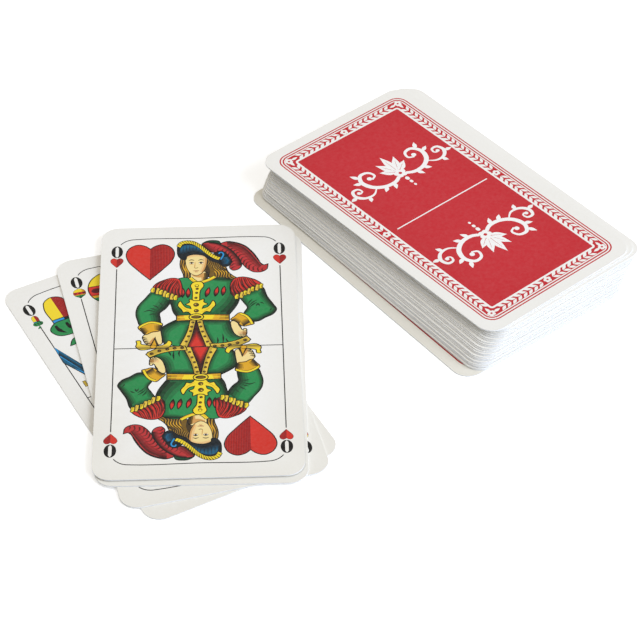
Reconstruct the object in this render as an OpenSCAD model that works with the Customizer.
// A deck of 32 German-suited playing cards, as it lies on a table in the middle of a game:
// most of the deck in a leaning pile, face down, and the four obers fanned face up beside it.
// The origin is the middle of the pile's bottom card, on the table. +Y runs along the pile's cards.

/* [Card] */
// Width of a card
card_w = 56; // [50:0.5:64]
// Length of a card
card_l = 100; // [86:0.5:120]
// Thickness of the laminated board
card_t = 0.3; // [0.24:0.01:0.4]
// Radius of the punched corners
corner_r = 5; // [2:0.5:8]
// Air between two cards that lie on each other
card_air = 0.04; // [0.03:0.01:0.08]

/* [Pile] */
// Step sideways from the bottom card to the card on it
foot_x = 3.45; // [0:0.05:6]
// Step lengthways from the bottom card to the card on it
foot_y = -0.1; // [-3:0.1:3]
// Turn of the bottom card under the pile, in degrees
foot_turn = -1.7; // [-4:0.1:4]
// Turn of the card on the bottom card, which the pile untwists above it, in degrees
foot_twist = -1.1; // [-3:0.1:3]
// How far the pile leans sideways above the bottom card
lean_x = 9; // [0:0.1:14]
// How far the pile leans lengthways above the bottom card
lean_y = 2.5; // [-4:0.1:4]
// How the lean grows with height: 1 is a straight slope, more is a curve
lean_curve = 1.5; // [1:0.1:3]
// How far the top card has slid sideways out of the even lean
top_x = -4; // [-8:0.1:8]
// How far the top card has slid lengthways out of the even lean
top_y = 0.8; // [-8:0.1:8]
// Turn of the top card out of the even lean, in degrees
top_turn = 0.9; // [-4:0.1:4]
// Share of the top card's slide that the card under it has followed
top_follow = 0.5; // [0:0.1:1]
// Largest stray of a card out of the even lean, sideways and lengthways
stray = 0.15; // [0:0.05:0.6]
// Largest turn of a card out of the even lean, in degrees
stray_turn = 0.1; // [0:0.05:0.4]

/* [Fan] */
// Gap between the fan's foremost corner and the side of the pile
fan_gap = 2.8; // [1:0.1:20]
// Distance of the thumb point up the table, from the middle of the pile
fan_y = -18.7; // [-60:0.1:20]
// Turn of the fan's lowest card, in degrees
fan_turn = -11.2; // [-40:0.1:20]
// Distance of the thumb point from a card's long centre line
thumb_side = 7; // [0:0.5:20]
// Distance of the thumb point from a card's short edge
thumb_up = 25.5; // [12:0.5:40]
// Turn of the bells card about the thumb point from the lowest card, in degrees
bells_turn = -13.5; // [-25:0.1:0]
// Turn of the leaves card about the thumb point from the lowest card, in degrees
leaves_turn = -26.9; // [-45:0.1:0]
// Turn of the hearts card about the thumb point from the lowest card, in degrees
hearts_turn = -26.2; // [-45:0.1:0]
// Slip of the bells card along its own width and length
bells_slip = [0.8, -1.2]; // [-4:0.1:4]
// Slip of the hearts card along its own width and length
hearts_slip = [-1, 2]; // [-4:0.1:4]

/* [Hidden] */
$fn = 48;

PILE_SUITS = ["bells", "hearts", "leaves", "acorns"];
PILE_RANKS = ["seven", "eight", "nine", "unter", "king", "ten", "ace"];
FAN_SUITS = ["acorns", "bells", "leaves", "hearts"];
PILE = [for (suit = PILE_SUITS) for (rank = PILE_RANKS) str(suit, "_", rank)];
FAN = [for (suit = FAN_SUITS) str(suit, "_ober")];

BACK_COLOUR = "firebrick";
FACE_COLOUR = "ivory";

// Cards lie at even heights, each on the one below.
pitch = card_t + card_air;
top = len(PILE) - 1;

// The stray of neighbouring cards follows the golden angle, so that no two steps are alike.
golden_angle = 137.5;

// Share of the lean at card k: none on the second card, all of it on the second card from the top.
function lean(k) = pow((k - 1) / (top - 2), lean_curve);

function even_place(k) = [
    foot_x + lean_x * lean(k) + stray * sin(k * golden_angle),
    foot_y + lean_y * lean(k) + stray * cos(k * golden_angle),
    foot_twist * (1 - lean(k)) + stray_turn * sin(2 * k * golden_angle)
];

// Share of the top card's slide at card k.
function slide(k) = k == top ? 1 : k == top - 1 ? top_follow : 0;

// Sideways and lengthways place of pile card k, and its turn.
function pile_place(k) =
    k == 0 ? [0, 0, foot_turn]
    : even_place(min(k, top - 1)) + slide(k) * [top_x, top_y, top_turn];

// Turn and slip of each fan card, from the table up.
fan_turns = [0, bells_turn, leaves_turn, hearts_turn];
fan_slips = [[0, 0], bells_slip, [0, 0], hearts_slip];
thumb = [thumb_side, thumb_up - card_l / 2];
foremost = len(FAN) - 1;

// How far the foremost corner of the fan's highest card reaches sideways from the thumb point.
foremost_turn = fan_turn + fan_turns[foremost];
foremost_arc = [card_w, card_l] / 2 - [corner_r, corner_r] - thumb + fan_slips[foremost];
fan_reach = foremost_arc.x * cos(foremost_turn) - foremost_arc.y * sin(foremost_turn) + corner_r;
fan_x = foot_x - card_w / 2 - fan_gap - fan_reach;

// One punched card, lying flat with its middle at the origin.
module card() {
    linear_extrude(card_t) {
        square([card_w, card_l - 2 * corner_r], center = true);
        square([card_w - 2 * corner_r, card_l], center = true);
        for (side = [-1, 1], end = [-1, 1])
            translate([side * (card_w / 2 - corner_r), end * (card_l / 2 - corner_r)])
                circle(corner_r);
    }
}

// Card k of the pile, counted from the table, back up.
module pile_card(k) {
    place = pile_place(k);
    color(BACK_COLOUR)
        translate([place.x, place.y, k * pitch])
            rotate(place.z)
                card();
}

// Card k of the fan, counted from the table, face up and turned about the thumb point.
module fan_card(k) {
    color(FACE_COLOUR)
        translate([fan_x, fan_y, k * pitch])
            rotate(fan_turn + fan_turns[k])
                translate(fan_slips[k] - thumb)
                    card();
}

for (k = [0 : top])
    pile_card(k);
for (k = [0 : foremost])
    fan_card(k);
